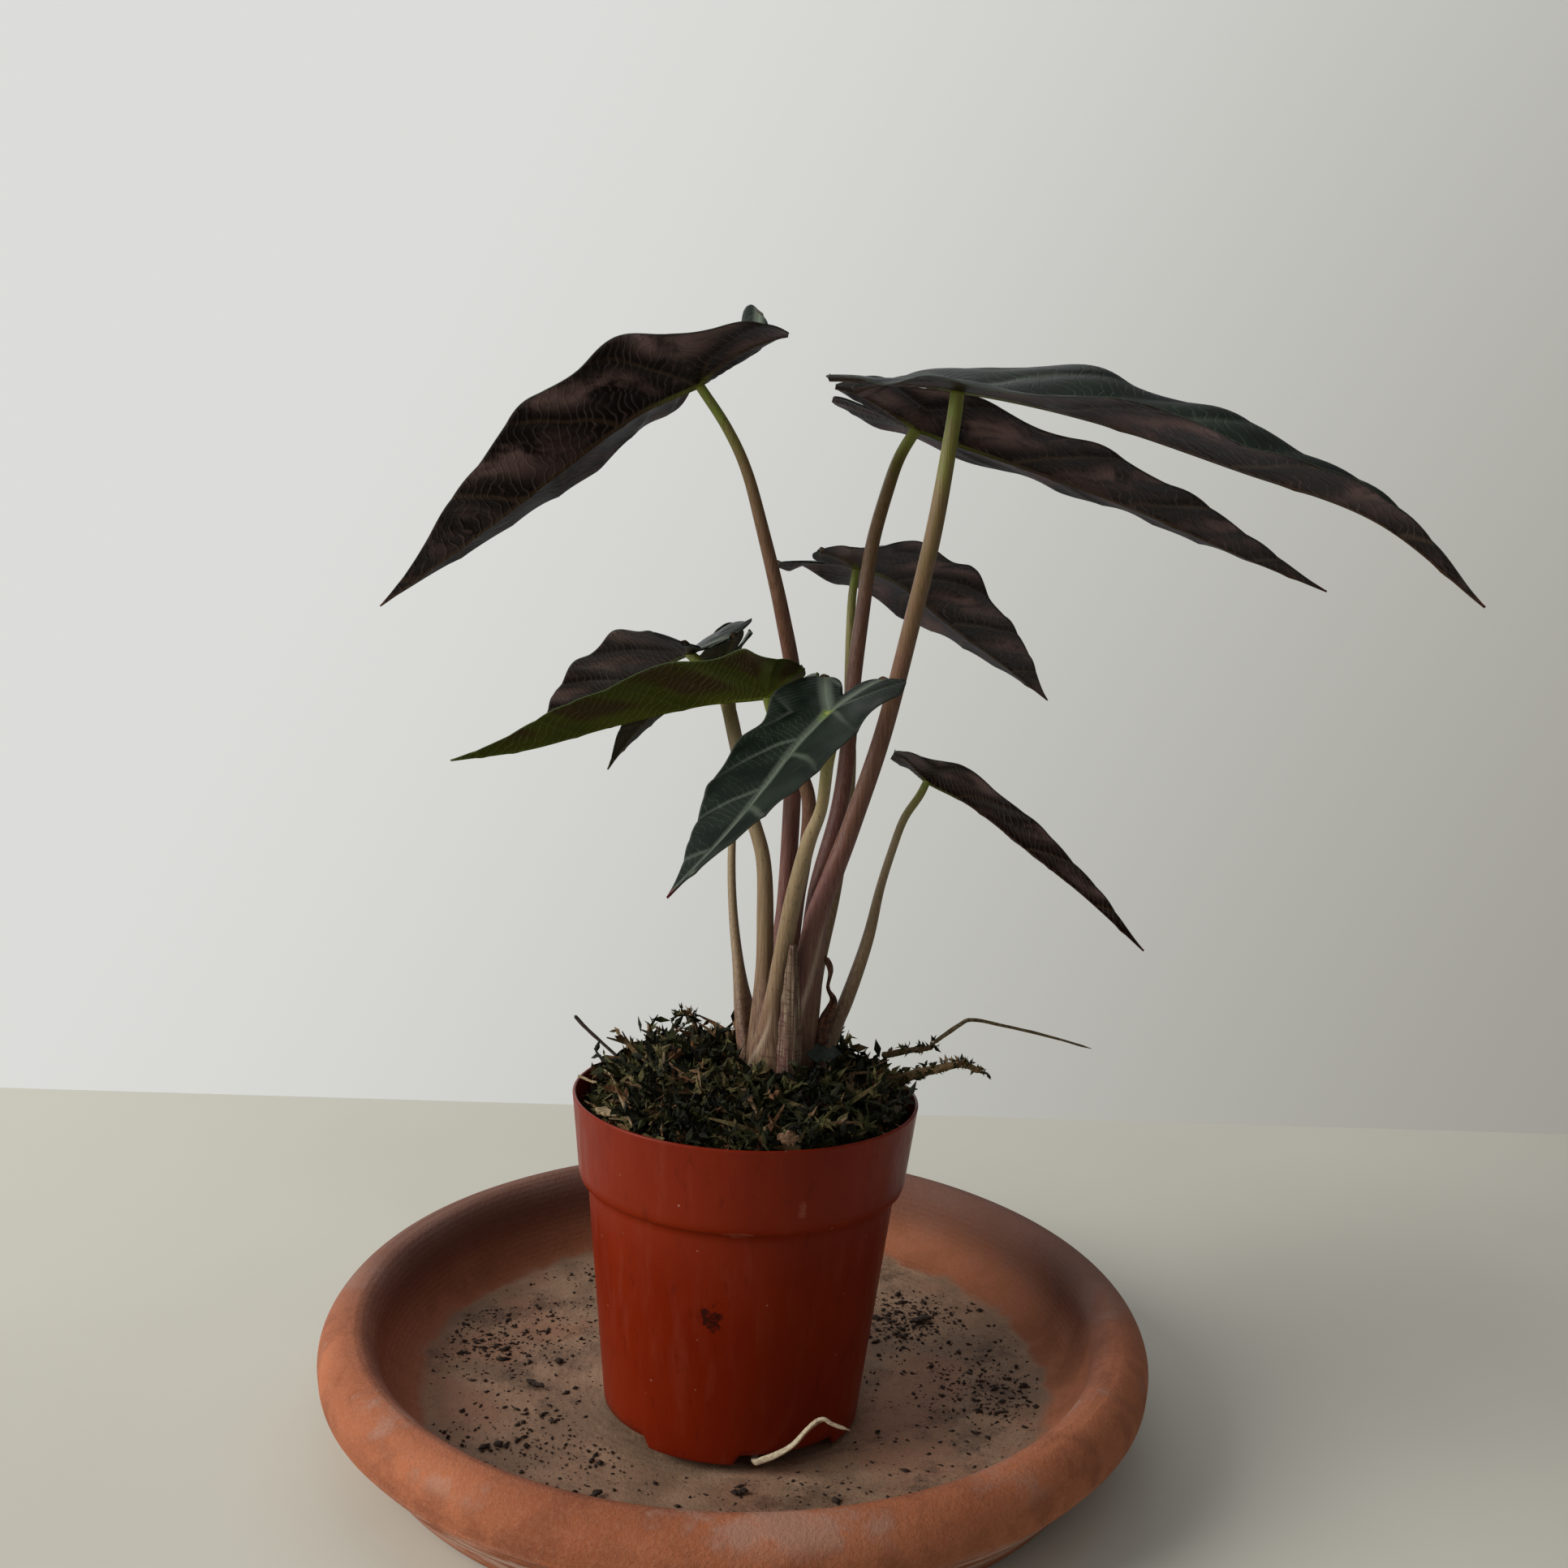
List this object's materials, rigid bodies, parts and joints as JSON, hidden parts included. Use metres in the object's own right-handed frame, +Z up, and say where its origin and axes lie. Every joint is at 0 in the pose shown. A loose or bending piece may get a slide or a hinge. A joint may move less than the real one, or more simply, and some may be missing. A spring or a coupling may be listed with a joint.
{
  "type": "potted plant",
  "caption": "Potted alocasia: dark arrow-shaped leaves on upright stalks, rooted in a thin red-brown nursery pot that stands in a wide terracotta saucer.",
  "frame": {"origin": "centre of the saucer's flat underside, on the surface it stands on", "axes": "+Z up; -Y towards the viewer of the picture, +X to the viewer's right"},
  "size_m": [0.2731, 0.2238, 0.2935],
  "materials": {
    "terracotta": "matte",
    "pot_plastic": "satin",
    "growing_mix": "matte",
    "moss": "matte",
    "rhizome": "matte",
    "leaf_dark": "satin",
    "leaf_green": "satin",
    "leaf_olive": "satin",
    "stalk_red": "satin",
    "stalk_olive": "satin",
    "papery_scale": "matte",
    "pale_root": "satin",
    "dry_strand": "matte",
    "bark": "matte"
  },
  "bodies": {
    "root": {"saucer": "terracotta", "nursery_pot": "pot_plastic", "growing_mix": "growing_mix", "moss_mat": "moss", "rhizome": "rhizome", "papery_sheath": "papery_scale", "dead_sheath": "papery_scale", "leaf_scrap": "leaf_green", "leaf_scrap_stub": "stalk_olive", "drain_root": "pale_root", "leaf_upper_left": "leaf_dark", "stalk_upper_left": "stalk_red", "leaf_upper_right": "leaf_dark", "stalk_upper_right": "stalk_red", "leaf_right": "leaf_dark", "stalk_right": "stalk_red", "leaf_back_right": "leaf_green", "stalk_back_right": "stalk_olive", "leaf_centre_left": "leaf_olive", "stalk_centre_left": "stalk_red", "leaf_back_left": "leaf_dark", "stalk_back_left": "stalk_olive", "leaf_front": "leaf_green", "stalk_front": "stalk_olive", "leaf_low_right": "leaf_dark", "stalk_low_right": "stalk_olive", "leaf_small_back": "leaf_green", "stalk_small_back": "stalk_olive", "dried_stem_long": "dry_strand", "dark_strand": "dry_strand", "straw_arc": "dry_strand", "straw_short": "dry_strand", "straw_front": "dry_strand", "curved_stem": "dry_strand", "twig_right": "dry_strand", "moss_branch": "dry_strand", "moss_curl": "dry_strand", "bark_band": "bark", "bark_strip": "bark", "fibre_block": "bark", "dried_tuft": "bark", "floor_crumb_right": "bark", "floor_crumb_left": "bark", "floor_crumb_front": "bark", "floor_crumb_corner": "bark"}
  },
  "joints": []
}
